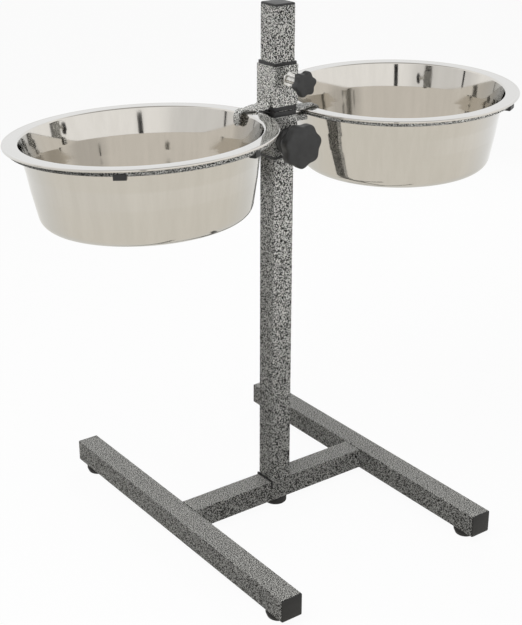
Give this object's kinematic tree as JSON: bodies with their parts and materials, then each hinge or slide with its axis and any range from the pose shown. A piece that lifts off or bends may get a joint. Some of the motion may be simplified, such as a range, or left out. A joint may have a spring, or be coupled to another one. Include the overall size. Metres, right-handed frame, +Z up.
{
  "type": "dog feeder stand",
  "caption": "Free-standing dog feeder: H-shaped square-tube base and post, sliding carrier with rings for steel bowls, clamp with hooks over the rims, star knobs to set the height.",
  "frame": {"origin": "On the floor, under the middle of the base and the post's axis.", "axes": "+X runs along the crossbar from one bowl to the other, the knobs face -Y, +Z is up along the post."},
  "size_m": [0.5949, 0.408, 0.5755],
  "materials": {
    "hammered_paint": "glossy hammered grey paint on steel",
    "black_plastic": "moulded, matte",
    "rubber_foot": "moulded, matte",
    "stainless": "polished stainless sheet",
    "bright_zinc": "bright plated steel"
  },
  "bodies": {
    "stand": {"left_leg": "hammered_paint", "right_leg": "hammered_paint", "left_crossbar": "hammered_paint", "right_crossbar": "hammered_paint", "post": "hammered_paint", "crossbar_plug": "black_plastic", "plug_screw": "bright_zinc", "left_front_cap": "black_plastic", "left_back_cap": "black_plastic", "right_front_cap": "black_plastic", "right_back_cap": "black_plastic", "post_cap": "black_plastic", "left_front_foot": "rubber_foot", "left_back_foot": "rubber_foot", "right_front_foot": "rubber_foot", "right_back_foot": "rubber_foot", "center_foot": "rubber_foot", "foot_screws": "bright_zinc"},
    "carrier": {"carrier_sleeve": "hammered_paint", "carrier_top_liner": "black_plastic", "carrier_bottom_liner": "black_plastic", "carrier_nut": "bright_zinc", "left_arm": "hammered_paint", "right_arm": "hammered_paint", "left_ring": "hammered_paint", "right_ring": "hammered_paint", "left_ring_clips": "black_plastic", "right_ring_clips": "black_plastic"},
    "clamp": {"clamp_sleeve": "hammered_paint", "clamp_top_liner": "black_plastic", "clamp_bottom_liner": "black_plastic", "clamp_nut": "bright_zinc", "left_hook": "hammered_paint", "right_hook": "hammered_paint"},
    "height_knob": {"height_knob_grip": "black_plastic", "height_knob_stud": "bright_zinc"},
    "clamp_knob": {"clamp_knob_grip": "black_plastic", "clamp_knob_collar": "bright_zinc", "clamp_knob_stud": "bright_zinc"},
    "left_bowl": {"left_bowl": "stainless"},
    "right_bowl": {"right_bowl": "stainless"}
  },
  "joints": [
    {"name": "carrier_slide", "type": "slide", "parent": "stand", "child": "carrier", "axis": [0, 0, 1], "range_m": [-0.34, 0.012]},
    {"name": "clamp_slide", "type": "slide", "parent": "carrier", "child": "clamp", "axis": [0, 0, 1], "range_m": [0, 0.04]},
    {"name": "height_knob_turn", "type": "hinge", "parent": "carrier", "child": "height_knob", "pos_m": [0, -0.0159, 0.43525], "axis": [0, -1, 0], "range_deg": [0, 900]},
    {"name": "clamp_knob_turn", "type": "hinge", "parent": "clamp", "child": "clamp_knob", "pos_m": [0, -0.0159, 0.4994], "axis": [0, -1, 0], "range_deg": [0, 900]},
    {"name": "left_bowl_turn", "type": "hinge", "parent": "carrier", "child": "left_bowl", "pos_m": [-0.1637, 0, 0.46575], "axis": [-0.0192, 0.0489, 0.9986], "continuous": true},
    {"name": "right_bowl_turn", "type": "hinge", "parent": "carrier", "child": "right_bowl", "pos_m": [0.1637, 0, 0.46425], "axis": [-0.0209, -0.0087, 0.9997], "continuous": true}
  ]
}
